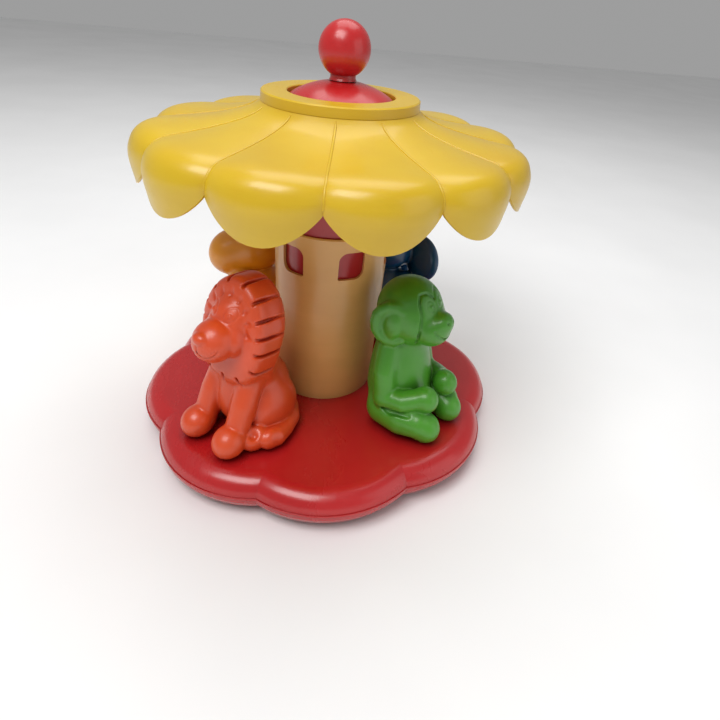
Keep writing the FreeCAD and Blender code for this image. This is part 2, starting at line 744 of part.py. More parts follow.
def bear():
    parts = [egg(-8, 0, 28, 21, 23, 28), egg(-6, 0, 46, 17, 18, 20), egg(-3, 0, 76, 20, 21, 19.5),
             egg(14, 0, 71, 10, 10.5, 8.6), egg(23, 0, 74.5, 3.0, 4.4, 3.2)]
    parts += pair(lambda s: limb((0, 14 * s, 14), 11.5, (16, 15 * s, 11), 9.5))
    parts += pair(lambda s: egg(21, 16 * s, 10.5, 7.0, 8.4, 10.2))
    parts += pair(lambda s: limb((-6, 17 * s, 52), 7.6, (13, 15 * s, 34), 6.6))
    parts += pair(lambda s: egg(-5, 16.5 * s, 91, 4.6, 7.4, 7.4))
    body = join(parts)
    for s in (1.0, -1.0):
        body = body.cut(egg(0.5, 16.5 * s, 91.5, 2.6, 4.4, 4.4))
        body = body.cut(eye_ring(14, 7.5 * s, 82, 2.9, 0.3 * s))
    return rider(body, -8, 30)


def elephant():
    parts = [egg(-8, 0, 28, 21, 23, 28), egg(-6, 0, 46, 17, 18, 20), egg(-4, 0, 77, 19, 19, 20)]
    trunk = [(12, 0, 73), (21, 0, 60), (20, 0, 46), (25, 0, 37)]
    wide = [8.0, 6.6, 5.6, 5.0]
    parts += [limb(trunk[i], wide[i], trunk[i + 1], wide[i + 1]) for i in range(3)]
    parts += pair(lambda s: egg(-6, 22 * s, 77, 4.4, 10.0, 15))
    parts += pair(lambda s: limb((0, 14 * s, 14), 11.5, (15, 14 * s, 12), 10.5))
    parts += pair(lambda s: limb((-4, 15 * s, 50), 8.2, (13, 16 * s, 33), 7.4))
    body = join(parts)
    for s in (1.0, -1.0):
        body = body.cut(egg(-1.5, 23 * s, 77, 2.6, 7.0, 11))
        body = body.cut(eye_ring(12, 8.5 * s, 83, 2.7, 0.4 * s))
    return rider(body, -8, 30)


def rider(body, hollow_x, hollow_top):
    """Flat underside, a hollow inside, and two screw bosses in the hollow."""
    body = body.cut(block(0, 0, -40, 200, 200, 40))
    hollow = egg(hollow_x, 0, 0, 16, 14, hollow_top)
    if abs(rider_scale - 1.0) > 1e-9:
        body.scale(rider_scale)
        hollow.scale(rider_scale)
    spots = [(x - rider_radius, y) for x, y in rider_screw_spots()]
    for x, y in spots:
        hollow = hollow.cut(cyl(4.0, -1, 60, x, y))
    body = body.cut(hollow.common(block(0, 0, -1, 200, 200, 60)))
    for x, y in spots:
        body = body.cut(cyl(1.5, -1, 9.0, x, y))
    return body


def place_rider(shape, angle):
    return turned(moved(shape, rider_radius, 0, base_top), angle)


def screws_riders():
    one = screw(3.2, 1.8, 1.5, 10.0)
    spots = [moved(one, x, y, base_top - shell_wall) for x, y in rider_screw_spots()]
    return Part.makeCompound([turned(s, angle) for angle in rider_angles for s in spots])


def main():
    os.makedirs("parts", exist_ok=True)
    save("foot_disc", foot_disc())
    save("foot_pads", foot_pads())
    save("centre_post", centre_post())
    save("screws_post", screws_post())
    save("thrust_washer", thrust_washer())
    save("retaining_ring", retaining_ring())
    save("return_spring", return_spring())
    save("base_shell", base_shell())
    save("base_pan", base_pan())
    save("screws_base", screws_base())
    save("lower_bush", lower_bush())
    save("upper_bush", upper_bush())
    save("tower_sleeve", tower_sleeve())
    save("inner_tower", inner_tower())
    save("screws_tower", screws_tower())
    save("canopy", canopy())
    save("collar_ring", collar_ring())
    save("screws_canopy", screws_canopy())
    save("clutch_ring", clutch_ring())
    save("nut_cap", nut_cap())
    save("screws_cap", screws_cap())
    save("ball_knob", ball_knob())
    save("dome_cap", dome_cap())
    save("drive_strip", drive_strip())
    save("guide_shoe", guide_shoe())
    save("strip_pins", strip_pins())
    save("drive_nut", drive_nut())
    save("lion", place_rider(lion(), 225))
    save("monkey", place_rider(monkey(), 315))
    save("bear", place_rider(bear(), 135))
    save("elephant", place_rider(elephant(), 45))
    save("screws_riders", screws_riders())


main()
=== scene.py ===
import math
import bpy
import numpy as np
from mathutils import Matrix, Vector


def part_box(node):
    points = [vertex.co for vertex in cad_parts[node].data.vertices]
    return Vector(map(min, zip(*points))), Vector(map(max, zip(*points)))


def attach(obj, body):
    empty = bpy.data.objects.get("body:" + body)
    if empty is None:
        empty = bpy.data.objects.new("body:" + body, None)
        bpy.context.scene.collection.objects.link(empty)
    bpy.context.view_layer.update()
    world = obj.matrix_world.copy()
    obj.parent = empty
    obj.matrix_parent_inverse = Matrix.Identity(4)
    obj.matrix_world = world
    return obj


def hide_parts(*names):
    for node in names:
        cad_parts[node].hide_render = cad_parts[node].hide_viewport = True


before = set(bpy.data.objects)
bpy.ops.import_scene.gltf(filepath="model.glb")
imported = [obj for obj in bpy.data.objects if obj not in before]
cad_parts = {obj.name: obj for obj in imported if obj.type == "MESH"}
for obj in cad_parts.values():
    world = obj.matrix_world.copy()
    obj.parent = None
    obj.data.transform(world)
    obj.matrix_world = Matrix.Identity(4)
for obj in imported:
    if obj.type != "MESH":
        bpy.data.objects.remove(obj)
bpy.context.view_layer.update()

MM = 0.001                            # one millimetre in scene units
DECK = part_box("base_shell")[1][2]     # top of the base
RIDER_RADIUS = 76.0                   # mm from the spin axis to a rider's middle
CLAY_STEP = 0.55    # mm between grid points of a figure
FAR = 50.0                            # mm, a grid point with no clay near it

CAMERA_TURN = -5.5                    # degrees about the spin axis
CAMERA_HEIGHT = 0.26450482            # above the deck
CAMERA_BACK = -0.37944654             # in front of the spin axis
SENSOR_WIDTH = 36.0                   # mm
LENS = 29.9082                        # mm
SHIFT_X = -0.0726806                  # shares of the sensor's width
SHIFT_Y = -0.2429583


# Camera

def make_camera():
    data = bpy.data.cameras.new("camera")
    cam = bpy.data.objects.new("camera", data)
    bpy.context.scene.collection.objects.link(cam)
    ahead = Vector((0.12639566, 0.94658194, -0.29665935))
    right = Vector((0.98986087, -0.10081661, 0.10005732))
    up = Vector((-0.06480427, 0.3062983, 0.9497272))
    spot = Vector((0.0, CAMERA_BACK, CAMERA_HEIGHT + DECK))
    m = Matrix((right, up, -ahead)).transposed().to_4x4()
    m.translation = spot
    cam.matrix_world = Matrix.Rotation(math.radians(CAMERA_TURN), 4, "Z") @ m
    data.sensor_width = SENSOR_WIDTH
    data.lens = LENS
    data.shift_x = SHIFT_X
    data.shift_y = SHIFT_Y
    data.clip_start = 0.01
    bpy.context.scene.camera = cam


make_camera()


# Materials

class Mat:
    """Small helper that wires a Principled material from noise and masks."""

    def __init__(self, name):
        self.m = bpy.data.materials.new(name)
        self.m.use_nodes = True
        self.n = self.m.node_tree.nodes
        self.l = self.m.node_tree.links
        self.b = self.n["Principled BSDF"]
        self.co = self.node("ShaderNodeTexCoord").outputs["Object"]

    def node(self, kind, **values):
        node = self.n.new(kind)
        for key, value in values.items():
            setattr(node, key, value)
        return node

    def link(self, a, b):
        self.l.new(a, b)

    def noise(self, scale, detail=3.0, rough=0.5, stretch=None):
        tex = self.node("ShaderNodeTexNoise")
        tex.inputs["Scale"].default_value = scale
        tex.inputs["Detail"].default_value = detail
        tex.inputs["Roughness"].default_value = rough
        co = self.co
        if stretch:
            mapping = self.node("ShaderNodeMapping")
            mapping.inputs["Scale"].default_value = stretch
            self.link(self.co, mapping.inputs["Vector"])
            co = mapping.outputs["Vector"]
        self.link(co, tex.inputs["Vector"])
        return tex.outputs["Fac"]

    def ramp(self, fac, low, high, a, b):
        node = self.node("ShaderNodeMapRange")
        node.inputs["From Min"].default_value = low
        node.inputs["From Max"].default_value = high
        node.inputs["To Min"].default_value = a
        node.inputs["To Max"].default_value = b
        self.link(fac, node.inputs["Value"])
        return node.outputs["Result"]

    def mix(self, fac, a, b):
        node = self.node("ShaderNodeMix", data_type="RGBA")
        if hasattr(fac, "is_linked"):
            self.link(fac, node.inputs[0])
        else:
            node.inputs[0].default_value = fac
        for value, spot in ((a, 6), (b, 7)):
            if hasattr(value, "is_linked"):
                self.link(value, node.inputs[spot])
            else:
                node.inputs[spot].default_value = (value[0], value[1], value[2], 1.0)
        return node.outputs[2]

    def math(self, op, a, b=0.0):
        node = self.node("ShaderNodeMath", operation=op)
        for i, value in enumerate((a, b)):
            if hasattr(value, "is_linked"):
                self.link(value, node.inputs[i])
            else:
                node.inputs[i].default_value = value
        return node.outputs[0]

    def bump(self, height, strength, distance, after=None):
        node = self.node("ShaderNodeBump")
        node.inputs["Strength"].default_value = strength
        node.inputs["Distance"].default_value = distance
        self.link(height, node.inputs["Height"])
        if after is not None:
            self.link(after, node.inputs["Normal"])
        self.link(node.outputs["Normal"], self.b.inputs["Normal"])
        return node.outputs["Normal"]


def plastic(name, colour, deep, rough=0.3, glow=0.08, wear=0.25, crease_shade=None, pebble=0.05, coat=0.25):
    """Moulded coloured plastic: slight colour drift, faint flow lines, painted shade darkening creases and
    recesses, rubbed scuffs, soft pebbled sheen.
    """
    m = Mat(name)
    drift = m.noise(14.0, 4.0, 0.55)
    flow = m.noise(9.0, 5.0, 0.6, (1.0, 1.0, 6.0))
    base = m.mix(m.ramp(drift, 0.3, 0.7, 0.0, 1.0), deep, colour)
    pale = [min(1.0, c * 1.12 + 0.015) for c in colour]
    base = m.mix(m.ramp(flow, 0.45, 0.75, 0.0, 0.35), base, pale)
    if crease_shade:
        # painted shade: ambient occlusion darkens the colour toward the given darker colour in creases,
        # recesses and between parts
        ao = m.node("ShaderNodeAmbientOcclusion", samples=4)
        ao.inputs["Distance"].default_value = 0.006
        ao_shade = m.ramp(ao.outputs["AO"], 0.35, 0.95, 0.65, 0.0)
        base = m.mix(ao_shade, base, crease_shade)
    m.link(base, m.b.inputs["Base Color"])
    scuff = m.noise(160.0, 6.0, 0.7, (1.0, 0.35, 1.0))
    patch = m.noise(22.0, 3.0, 0.6)
    worn = m.math("MULTIPLY", m.ramp(scuff, 0.5, 0.72, 0.0, 1.0), m.ramp(patch, 0.42, 0.66, 0.0, 1.0))
    sheen = m.ramp(drift, 0.3, 0.7, rough - 0.03, rough + 0.05)
    m.link(m.math("ADD", sheen, m.math("MULTIPLY", worn, wear)), m.b.inputs["Roughness"])
    m.b.inputs["Subsurface Weight"].default_value = glow
    m.b.inputs["Subsurface Radius"].default_value = (0.006, 0.003, 0.002)
    m.b.inputs["Subsurface Scale"].default_value = 1.0
    m.b.inputs["Coat Weight"].default_value = coat
    m.b.inputs["Coat Roughness"].default_value = 0.16
    m.b.inputs["IOR"].default_value = 1.5
    fine = m.noise(900.0, 2.0, 0.5)
    first = m.bump(fine, pebble, 0.0002)
    wave = m.noise(30.0, 2.0, 0.5)
    second = m.bump(wave, 0.12, 0.0007, first)
    m.bump(scuff, 0.06, 0.00015, second)
    return m


def metal(name, colour, rough=0.35):
    """Drawn metal with fine lengthwise streaks."""
    m = Mat(name)
    streak = m.noise(120.0, 5.0, 0.65, (1.0, 1.0, 0.15))
    base = m.mix(m.ramp(streak, 0.3, 0.7, 0.0, 1.0), [c * 0.7 for c in colour], colour)
    m.link(base, m.b.inputs["Base Color"])
    m.link(m.ramp(streak, 0.3, 0.7, rough, rough + 0.2), m.b.inputs["Roughness"])
    m.b.inputs["Metallic"].default_value = 1.0
    m.bump(streak, 0.1, 0.0001)
    return m


def rubber(name, colour):
    """Matt grained rubber."""
    m = Mat(name)
    grain = m.noise(500.0, 4.0, 0.6)
    base = m.mix(m.ramp(grain, 0.3, 0.7, 0.0, 1.0), colour, [c * 1.8 + 0.01 for c in colour])
    m.link(base, m.b.inputs["Base Color"])
    m.link(m.ramp(grain, 0.3, 0.7, 0.65, 0.85), m.b.inputs["Roughness"])
    m.bump(grain, 0.3, 0.0002)
    return m


# In the plastics below, the keyword colour after the two tones is painted shade, mixed in by ambient
# occlusion in creases and recesses.
M = {
    "red": plastic("moulded_red",
        (0.50, 0.013, 0.015), (0.42, 0.009, 0.011), 0.26, 0.03,
        crease_shade=(0.16, 0.003, 0.004)),
    # Darker copy of the red for the inner tower: painted shade, as the tower stands in the shade under the
    # canopy and behind the windows.
    "red_in_shade": plastic("moulded_red_painted_shade", (0.42, 0.010, 0.013), (0.32, 0.007, 0.009), 0.3, 0.02),
    "cream": plastic("moulded_cream",
        (0.74, 0.42, 0.135), (0.68, 0.37, 0.11), 0.36, 0.06,
        crease_shade=(0.48, 0.24, 0.08)),
    "yellow": plastic("moulded_yellow",
        (0.64, 0.43, 0.008), (0.58, 0.36, 0.005), 0.34, 0.05,
        crease_shade=(0.52, 0.24, 0.006)),
    "orange": plastic("moulded_orange",
        (0.66, 0.070, 0.010), (0.58, 0.052, 0.008), 0.36, 0.05,
        crease_shade=(0.36, 0.014, 0.005)),
    "green": plastic("moulded_green",
        (0.070, 0.31, 0.016), (0.050, 0.24, 0.012), 0.36, 0.05,
        crease_shade=(0.022, 0.11, 0.008)),
    "amber": plastic("moulded_amber",
        (0.76, 0.31, 0.004), (0.68, 0.25, 0.003), 0.34, 0.06,
        crease_shade=(0.42, 0.12, 0.004)),
    "blue": plastic("moulded_blue",
        (0.003, 0.060, 0.150), (0.002, 0.042, 0.110), 0.3, 0.02,
        crease_shade=(0.001, 0.010, 0.03)),
    "white": plastic("natural_acetal", (0.8, 0.79, 0.74), (0.74, 0.72, 0.66), 0.42, 0.15),
    "black": plastic("moulded_black", (0.03, 0.03, 0.033), (0.02, 0.02, 0.022), 0.45, 0.0),
    "steel": metal("drawn_steel", (0.62, 0.62, 0.6)),
    "rubber": rubber("pad_rubber", (0.02, 0.02, 0.021)),
}
NODE_MATS = {
    "red": "base_shell base_pan ball_knob dome_cap foot_disc",
    # the inner tower takes the darker, painted-shade copy of the red
    "red_in_shade": "inner_tower",
    "cream": "tower_sleeve",
    "yellow": "canopy collar_ring",
    "orange": "lion", "green": "monkey", "amber": "bear", "blue": "elephant",
    "white": "centre_post lower_bush upper_bush clutch_ring guide_shoe drive_nut",
    "black": "nut_cap",
    "steel": "screws_post thrust_washer retaining_ring return_spring screws_base screws_tower screws_canopy"
             " screws_riders screws_cap drive_strip strip_pins",
    "rubber": "foot_pads",
}
for key, names in NODE_MATS.items():
    for name in names.split():
        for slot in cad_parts[name].material_slots:
            slot.material = M[key].m


def new_object(name, verts, faces, body, mat, node=None):
    """Smooth mesh that rides a body, and stands in for a CAD node when one is named."""
    mesh = bpy.data.meshes.new(name)
    mesh.from_pydata([tuple(v) for v in verts], [], faces)
    mesh.validate()
    mesh.polygons.foreach_set("use_smooth", [True] * len(mesh.polygons))
    mesh.update()
    obj = bpy.data.objects.new(name, mesh)
    bpy.context.scene.collection.objects.link(obj)
    mesh.materials.append(M[mat].m)
    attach(obj, body)
    if node:
        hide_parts(node)
    return obj


# Clay: shapes added to and carved from a grid of distances, then skinned

class Clay:
    """Lengths in mm in a figure's own frame: +X is where it faces, z = 0 is the deck."""

    def __init__(self, low, high, step):
        self.low = np.array(low, np.float32)
        self.step = step
        axes = [np.arange(low[i], high[i] + step, step, dtype=np.float32) for i in range(3)]
        self.axes = axes
        self.d = np.full([len(a) for a in axes], FAR, np.float32)

    def window(self, low, high):
        """Part of the grid between two corners, with its coordinates."""
        spans = []
        for i in range(3):
            a = int(np.clip((low[i] - self.low[i]) / self.step, 0, len(self.axes[i]) - 2))
            b = int(np.clip((high[i] - self.low[i]) / self.step + 2, 2, len(self.axes[i])))
            spans.append(slice(a, b))
        x = self.axes[0][spans[0]][:, None, None]
        y = self.axes[1][spans[1]][None, :, None]
        z = self.axes[2][spans[2]][None, None, :]
        return tuple(spans), x, y, z

    def put(self, spans, d, soft, carve):
        """Add or carve a shape given by its distances, blended over soft mm."""
        now = self.d[spans]
        if carve:
            d = -d
            h = np.clip(0.5 - 0.5 * (now - d) / soft, 0, 1)
            self.d[spans] = now + (d - now) * h + soft * h * (1 - h)
        else:
            h = np.clip(0.5 + 0.5 * (now - d) / soft, 0, 1)
            self.d[spans] = now + (d - now) * h - soft * h * (1 - h)

    def egg(self, c, r, soft=3.0, carve=False, tip=0.0, yaw=0.0, sides=True):
        """Ellipsoid; tip leans it about Y, yaw about Z. sides also makes the mirror copy when off centre."""
        reach = max(r) + soft + 2
        spans, x, y, z = self.window([v - reach for v in c], [v + reach for v in c])
        px, py, pz = x - c[0], y - c[1], z - c[2]
        if yaw:
            k, s = math.cos(math.radians(yaw)), math.sin(math.radians(yaw))
            px, py = px * k + py * s, -px * s + py * k
        if tip:
            k, s = math.cos(math.radians(tip)), math.sin(math.radians(tip))
            px, pz = px * k - pz * s, px * s + pz * k
        k0 = np.sqrt((px / r[0]) ** 2 + (py / r[1]) ** 2 + (pz / r[2]) ** 2) + 1e-6
        k1 = np.sqrt((px / r[0] ** 2) ** 2 + (py / r[1] ** 2) ** 2 + (pz / r[2] ** 2) ** 2) + 1e-6
        self.put(spans, k0 * (k0 - 1.0) / k1, soft, carve)
        if sides and c[1]:
            self.egg((c[0], -c[1], c[2]), r, soft, carve, tip, -yaw, False)

    def path(self, points, radii, soft=2.0, carve=False, sides=True):
        """Rounded rope through points with a radius at each."""
        p = np.array(points, np.float32)
        reach = max(radii) + soft + 2
        spans, x, y, z = self.window(p.min(0) - reach, p.max(0) + reach)
        best = None
        for i in range(len(p) - 1):
            a, b = p[i], p[i + 1]
            v = b - a
            t = ((x - a[0]) * v[0] + (y - a[1]) * v[1] + (z - a[2]) * v[2]) / max(float(v @ v), 1e-6)
            t = np.clip(t, 0, 1)
            q = np.sqrt((x - a[0] - t * v[0]) ** 2 + (y - a[1] - t * v[1]) ** 2 + (z - a[2] - t * v[2]) ** 2)
            q = q - (radii[i] + (radii[i + 1] - radii[i]) * t)
            best = q if best is None else np.minimum(best, q)
        self.put(spans, best, soft, carve)
        if sides and any(abs(q[1]) > 0.01 for q in points):
            self.path([(a, -b, c) for a, b, c in points], radii, soft, carve, False)

    def on_skin(self, y, z):
        """Where a straight line from the front first meets the clay."""
        q = np.array((60.0, y, z), float)
        for _ in range(400):
            i = np.clip(((q - self.low) / self.step).round().astype(int), 0, np.array(self.d.shape) - 1)
            d = float(self.d[tuple(i)])
            if d < 0.15:
                break
            q[0] -= max(0.12, min(d * 0.6, 1.5))
        return q

    def drawn(self, flat_points, radius, depth=0.3, soft=0.5, carve=True, sides=True):
        """Line drawn on the skin, given by its side and height as seen from the front."""
        for side in ((1, -1) if sides else (1,)):
            pts = []
            for y, z in flat_points:
                q = self.on_skin(y * side, z)
                pts.append((q[0] - depth, q[1], q[2]))
            self.path(pts, [radius] * len(pts), soft, carve, False)

    def flat_foot(self):
        """Cut a shallow groove under the figure, below the deck."""
        self.path([(-60, 0, -6), (60, 0, -6)], [6.0, 6.0], 0.3, True, False)

    def skin(self):
        """Smooth closed quad skin where the distance is zero."""
        d = self.d
        neg = d < 0
        n = [s - 1 for s in d.shape]
        count = np.zeros(n, np.int8)
        for a in (0, 1):
            for b in (0, 1):
                for c in (0, 1):
                    count += neg[a:a + n[0], b:b + n[1], c:c + n[2]]
        cell = (count > 0) & (count < 8)
        index = np.full(n, -1, np.int64)
        total = int(cell.sum())
        index[cell] = np.arange(total)
        where = np.argwhere(cell)
        acc = np.zeros((total, 3))
        hits = np.zeros(total)
        for axis in range(3):
            for u in (0, 1):
                for v in (0, 1):
                    off = [0, 0, 0]
                    o1, o2 = [k for k in range(3) if k != axis]
                    off[o1] = u
                    off[o2] = v
                    p = where + off
                    q = p.copy()
                    q[:, axis] += 1
                    d0 = d[p[:, 0], p[:, 1], p[:, 2]]
                    d1 = d[q[:, 0], q[:, 1], q[:, 2]]
                    cross = (d0 < 0) != (d1 < 0)
                    t = np.where(cross, d0 / np.where(cross, d0 - d1, 1.0), 0.0)
                    spot = p.astype(float)
                    spot[:, axis] += t
                    acc[cross] += spot[cross]
                    hits[cross] += 1
        verts = acc / hits[:, None]
        faces = []
        for axis in range(3):
            o1, o2 = [(axis + 1) % 3, (axis + 2) % 3]
            lo = [slice(1, -1)] * 3
            lo[axis] = slice(0, -1)
            hi = list(lo)
            hi[axis] = slice(1, None)
            a = neg[tuple(lo)]
            b = neg[tuple(hi)]
            change = np.argwhere(a != b)
            into = a[tuple(change.T)]
            base = change + 1
            base[:, axis] -= 1
            ring = []
            for u, v in ((0, 0), (1, 0), (1, 1), (0, 1)):
                c = base.copy()
                c[:, o1] -= u
                c[:, o2] -= v
                ring.append(index[c[:, 0], c[:, 1], c[:, 2]])
            quad = np.stack(ring, 1)
            quad[into] = quad[into][:, ::-1]
            faces.append(quad)
        faces = np.concatenate(faces)
        faces = faces[(faces >= 0).all(1)]
        verts = verts * self.step + self.low
        pairs = np.concatenate([faces[:, [0, 1]], faces[:, [1, 2]], faces[:, [2, 3]], faces[:, [3, 0]]])
        for amount in (0.5, -0.52, 0.5, -0.52):
            total_v = np.zeros_like(verts)
            deg = np.zeros(len(verts))
            np.add.at(total_v, pairs[:, 0], verts[pairs[:, 1]])
            np.add.at(total_v, pairs[:, 1], verts[pairs[:, 0]])
            np.add.at(deg, pairs[:, 0], 1)
            np.add.at(deg, pairs[:, 1], 1)
            verts = verts + amount * (total_v / deg[:, None] - verts)
        return verts, faces


def place_figure(clay, name, angle, mat, node):
    """Stand a figure on the deck, facing out at its angle, in place of its CAD solid."""
    verts, faces = clay.skin()
    verts[:, 2] = np.maximum(verts[:, 2], 0.05)
    k, s = math.cos(math.radians(angle)), math.sin(math.radians(angle))
    x = verts[:, 0] + RIDER_RADIUS
    y = verts[:, 1]
    world = np.stack([x * k - y * s, x * s + y * k, verts[:, 2]], 1) * MM
    world[:, 2] += DECK
    new_object(name, world, [tuple(map(int, f)) for f in faces], "carousel", mat, node)


def circle(y0, z0, wide, high, count=12):
    """Closed ring of drawing points round a spot on the face."""
    spots = []
    for k in range(count + 1):
        a = 2 * math.pi * k / count
        spots.append((y0 + wide * math.cos(a), z0 + high * math.sin(a)))
    return spots


def lion_clay():
    c = Clay((-40, -38, -4), (44, 38, 108), CLAY_STEP)
    # mane: a thick upright oval slab with locks parted by slots through its rim
    lean = math.radians(8)
    spans, x, y, z = c.window((-26, -34, 30), (34, 34, 108))
    px = (x - 1.5) * math.cos(lean) + (z - 70.5) * math.sin(lean)
    pz = (z - 70.5) * math.cos(lean) - (x - 1.5) * math.sin(lean)
    power = np.where(pz > 0, 2.0, 2.9)
    oval = (np.abs(y / 25.0) ** power + np.abs(pz / 32.5) ** power) ** (1.0 / power) + 1e-6
    side = np.sqrt(y ** 2 + pz ** 2)
    rim = side / oval
    slab = ((side / rim) ** 5 + np.abs(px / 12.5) ** 5) ** 0.2
    c.put(spans, (slab - 1.0) * 13.0, 2.0, False)
    way = np.arctan2(y, pz)
    for k in range(15):
        turn = way - math.radians(12 + 24 * k)
        deep = 6.0 if abs(k - 7) < 2 else 3.4
        slot = np.maximum(np.abs(side * np.sin(turn)) - 1.0, rim - deep - side)
        slot = np.where(np.cos(turn) > 0.5, slot, 9.0)
        c.put(spans, slot, 0.7, True)
    for deg in (0, 24, 48, 72, 96):
        for way_y in (1, -1):
            a = math.radians(deg * way_y)
            near = (15.5 * math.sin(a), 6.5 + 15.5 * math.cos(a))
            far = (20.5 * math.sin(a), 6.0 + 22.5 * math.cos(a))
            ends = [(14.2 - v * math.sin(lean), u, 70.5 + v * math.cos(lean)) for u, v in (near, far)]
            c.path(ends, [1.5, 1.1], 0.7, True, False)
    # hollow that the face sits in
    c.egg((19.5, 0, 76.5), (12.5, 17.5, 18.5), 2.0, True)
    c.egg((-6, 0, 74), (13, 21, 24), 6)
    # body and haunches
    c.egg((-9, 0, 23), (22, 22, 24), 3)
    c.egg((-5, 0, 40), (16.5, 18.0, 28), 5, tip=6)
    c.egg((3, 0, 26), (12.0, 12.5, 17), 6)
    c.egg((-9, 17.5, 17), (17, 9.5, 17), 4)
    c.egg((8.5, 21.0, 7.0), (9.8, 7.0, 7.4), 1.6)
    # front legs and ball paws
    c.path([(4, 11.5, 42), (11, 13, 27), (18, 13.5, 9)], [8.0, 7.8, 7.2], 1.6)
    c.egg((22.5, 14, 9.0), (10.2, 9.6, 9.4), 1.4)
    # groove between the legs and body
    c.path([(28, 0, 30), (30, 0, 2)], [3.2, 5.0], 3.0, True)
    c.path([(2, 25, 36), (8, 25, 22), (13, 24, 12)], [1.6, 2.0, 2.2], 3.0, True)
    # tail curled along the ground on the left
    tail = [(-29, 4, 6), (-26, 15, 5.6), (-19, 23, 5.6), (-9, 27.5, 5.6), (-1, 28.5, 6.0)]
    c.path(tail, [5.5, 5.4, 5.2, 5.0, 6.0], 2.0, sides=False)
    c.egg((3, 28, 6.6), (7.5, 5.2, 6.4), 1.5, sides=False)
    # face and big round muzzle
    c.egg((9.0, 0, 77.0), (11.5, 14.5, 16), 3.0)
    c.egg((16.0, 0, 70.0), (9.0, 15.5, 11.5), 3.0)
    c.egg((21.0, 0, 70.0), (13.2, 13.0, 12.4), 0.9)
    c.egg((31.2, 0, 75.2), (4.0, 5.2, 3.7), 1.2)
    # nose, smile, eyes and brows
    c.drawn([(0, 72.4), (0, 68.0)], 0.5, 0.1, 0.4, sides=False)
    c.drawn([(0, 68.0), (3.4, 65.6), (7.0, 65.4), (9.8, 67.4), (11.0, 70.0)], 0.6, 0.1, 0.4)
    c.drawn([(3.0, 61.8), (0, 60.8), (-3.0, 61.8)], 0.5, 0.1, 0.4, sides=False)
    c.drawn(circle(6.8, 86.0, 3.7, 3.9), 0.42, 0.0, 0.3)
    c.drawn([(6.6, 85.4), (6.6, 85.5)], 1.5, 0.7, 0.4, carve=False)
    c.drawn([(6.6, 85.4), (6.6, 85.45)], 0.5, -1.0, 0.2)
    for y0, z0 in ((4.6, 71.0), (7.4, 71.8), (9.8, 70.6), (5.8, 68.8), (8.6, 69.2)):
        c.drawn([(y0, z0), (y0 + 0.05, z0)], 0.4, 0.0, 0.2)
    c.flat_foot()
    return c


def monkey_clay():
    c = Clay((-42, -38, -4), (42, 38, 104), CLAY_STEP)
    c.egg((-11, 0, 25), (20.5, 22.5, 26), 3)
    c.egg((-12, 0, 45), (17.0, 19.0, 22), 8)
    # folded legs with round feet
    c.path([(-10, 16, 13), (4, 18.5, 13), (15, 16, 12)], [12.0, 11.0, 9.5], 4)
    c.egg((19, 13.5, 9.5), (10.2, 8.8, 9.4), 1.6)
    # arms bent over the belly, hands on the knees
    c.path([(-12, 15, 54), (-10, 20.5, 40), (-7, 22.0, 25)], [8.0, 7.6, 7.6], 3)
    c.path([(-7, 22.0, 24), (5, 20.0, 24.5), (15, 13.5, 28)], [7.4, 7.0, 6.4], 1.6)
    c.egg((16.5, 11.8, 27.5), (8.4, 7.6, 8.2), 1.4)
    c.egg((-11, 0, 57), (13, 14, 8), 6)
    # head
    c.egg((-9, 0, 77.5), (21.2, 21.2, 21.0), 2.0)
    c.egg((-2, 0, 72), (16, 18, 14), 5)
    # ears standing off the sides
    c.egg((-10.5, 18.5, 73.5), (8.0, 5.0, 11.0), 2.0, yaw=14)
    rim = []
    for k in range(11):
        a = math.radians(60 + 24 * k)
        rim.append((-8.5 + 10.0 * math.cos(a), 18.4 - 4.2 * math.cos(a), 73.5 + 11.8 * math.sin(a)))
    c.path(rim, [2.6, 3.1, 3.5, 3.8, 4.0, 4.0, 4.0, 3.8, 3.5, 3.1, 2.6], 2.2)
    # muzzle
    c.egg((8.0, 0, 71.0), (12.6, 14.0, 12.0), 1.4)
    c.egg((16.0, 0, 76.5), (6.4, 7.4, 6.4), 3.0)
    # face outline: a heart round the eyes, running down the cheeks
    heart = [(0.0, 90.0), (3.4, 93.6), (8.2, 93.2), (11.4, 88.8),
             (12.6, 82.5), (14.4, 74.0), (13.4, 65.5), (9.0, 60.6)]
    c.drawn(heart, 0.75, 0.15, 0.8)
    # eyes
    c.drawn(circle(5.0, 87.0, 3.0, 3.2), 0.42, 0.0, 0.3)
    c.drawn([(5.0, 86.6), (5.0, 86.7)], 1.1, 0.4, 0.4, carve=False)
    c.drawn([(5.0, 86.6), (5.0, 86.65)], 0.42, -0.8, 0.2)
    # smile and nostrils
    c.drawn([(0.0, 67.6), (4.0, 68.0), (7.8, 70.4), (9.8, 74.0)], 0.65, 0.15, 0.4)
    c.drawn([(2.6, 78.8), (2.6, 78.9)], 1.0, 0.1, 0.5)
    c.drawn([(0.0, 73.8), (0.0, 70.6)], 0.4, 0.1, 0.4, sides=False)
    # creases where limbs meet the body
    c.path([(-20, 22.5, 40), (-12, 25, 22), (0, 27, 19), (12, 24, 20)], [1.2, 1.4, 1.4, 1.2], 2.0, True)
    c.flat_foot()
    return c


